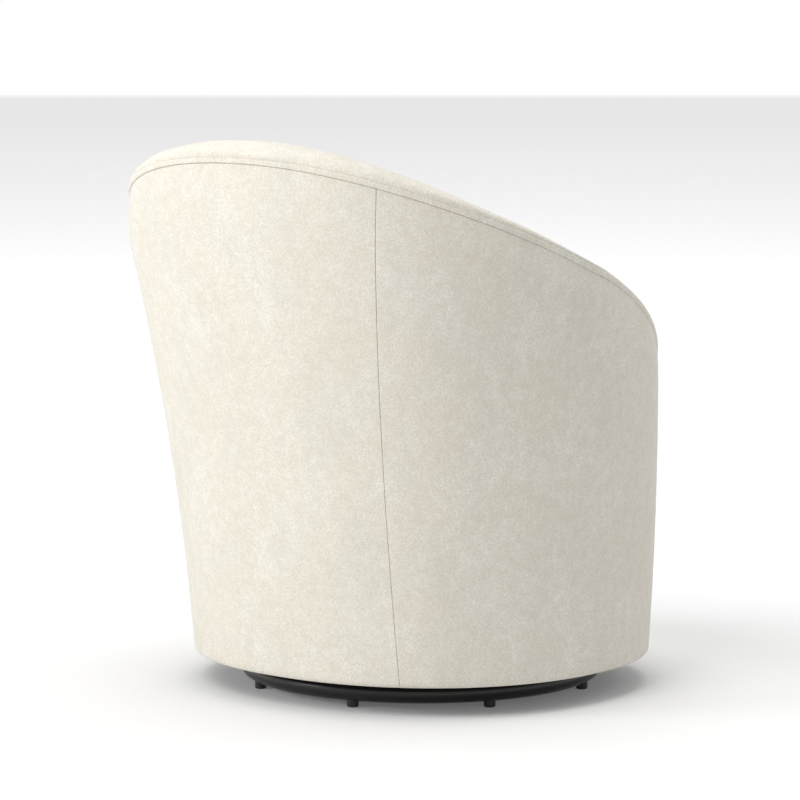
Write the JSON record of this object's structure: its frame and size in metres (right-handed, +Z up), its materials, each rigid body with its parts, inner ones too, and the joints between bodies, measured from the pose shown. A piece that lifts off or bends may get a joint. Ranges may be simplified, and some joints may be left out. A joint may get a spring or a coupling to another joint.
{
  "type": "swivel barrel chair",
  "caption": "Upholstered barrel chair with a sloping padded roll and a loose-look seat cushion, turning on a black round-tube ring base.",
  "frame": {"origin": "on the floor, below the middle of the chair's box", "axes": "+Z up, the sitter faces -Y, +X to the sitter's left"},
  "size_m": [0.7198, 0.7248, 0.768],
  "materials": {
    "velvet": "cream velvet with a soft mottled nap",
    "ring_paint": "satin black powder coat",
    "glide_plastic": "black nylon",
    "zinc_steel": "zinc plated",
    "ball_steel": "polished",
    "cage_plastic": "natural nylon",
    "plywood": "bare birch plywood",
    "spring_wire": "oiled spring steel",
    "felt": "grey needle felt",
    "webbing": "elastic webbing",
    "fibreboard": "pressed fibre",
    "foam": "open cell foam",
    "black_cloth": "black spun cloth"
  },
  "bodies": {
    "base": {"base_ring": "ring_paint", "base_spokes": "ring_paint", "hub_plate": "ring_paint", "glide_feet": "glide_plastic", "swivel_lower_plate": "zinc_steel", "swivel_rivet": "zinc_steel", "base_bolts": "zinc_steel", "base_nuts": "zinc_steel"},
    "bearing": {"bearing_balls": "ball_steel", "ball_cage": "cage_plastic"},
    "seat": {"swivel_upper_plate": "zinc_steel", "seat_bolts": "zinc_steel", "tee_nuts": "zinc_steel", "bottom_board": "plywood", "lower_posts": "plywood", "seat_frame": "plywood", "wall_ribs": "plywood", "top_rail": "plywood", "seat_springs": "spring_wire", "spring_clips": "spring_wire", "seat_deck": "felt", "back_webbing": "webbing", "shell_liner": "fibreboard", "apron_liner": "fibreboard", "back_pad": "foam", "arm_pads": "foam", "inner_cover": "velvet", "arm_front_left": "velvet", "arm_front_right": "velvet", "outer_back_panel": "velvet", "outer_side_panel_left": "velvet", "outer_side_panel_right": "velvet", "front_apron": "velvet", "top_welt": "velvet", "cushion_foam": "foam", "cushion_cover": "velvet", "dust_cover": "black_cloth"}
  },
  "joints": [
    {"name": "seat_swivel", "type": "hinge", "parent": "base", "child": "seat", "pos_m": [0, -0.04613, 0.0425], "axis": [0, 0, 1], "continuous": true},
    {"name": "bearing_turn", "type": "hinge", "parent": "base", "child": "bearing", "pos_m": [0, -0.04613, 0.0425], "axis": [0, 0, 1], "continuous": true}
  ],
  "couplings": [
    {"joint": "bearing_turn", "follows": "seat_swivel", "ratio": 0.5}
  ]
}
